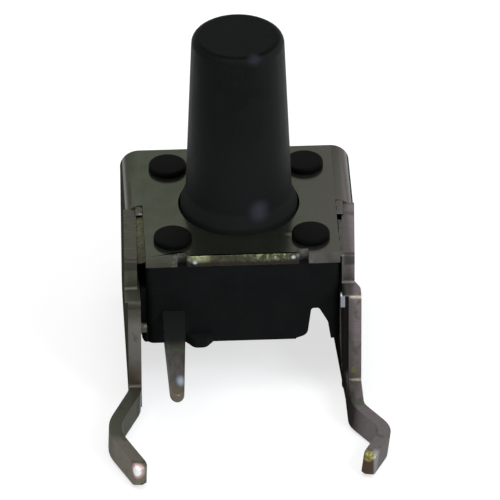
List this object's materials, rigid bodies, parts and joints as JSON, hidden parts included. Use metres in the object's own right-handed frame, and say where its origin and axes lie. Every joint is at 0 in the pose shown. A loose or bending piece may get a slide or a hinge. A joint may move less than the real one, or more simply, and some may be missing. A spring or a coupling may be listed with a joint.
{
  "type": "right-angle tactile push button switch",
  "caption": "Small black push button switch with a long round plunger in a sheet-metal snap-in bracket, lying at a right angle to its board.",
  "frame": {"origin": "on the push axis, in the plane of the base's rear face", "axes": "+Z along the push axis towards the button's top, -Y towards the circuit board, +X to the right when seen from the board"},
  "size_m": [0.0088, 0.0115, 0.0114],
  "materials": {
    "base_plastic": "moulded, matte",
    "plated_sheet": "dull plated sheet with sheared edges",
    "plunger_plastic": "moulded, fine matte",
    "dome_steel": "bright spring steel",
    "terminal_metal": "dull tin plating"
  },
  "bodies": {
    "housing": {"base_housing": "base_plastic", "cover_bracket": "plated_sheet", "snap_dome": "dome_steel", "terminal_left": "terminal_metal", "terminal_right": "terminal_metal"},
    "button": {"plunger": "plunger_plastic"}
  },
  "joints": [
    {"name": "plunger_press", "type": "slide", "parent": "housing", "child": "button", "axis": [0, 0, -1], "range_m": [0, 0.00025], "stiffness_N_per_m": 6400, "deforming": ["snap_dome"]}
  ]
}
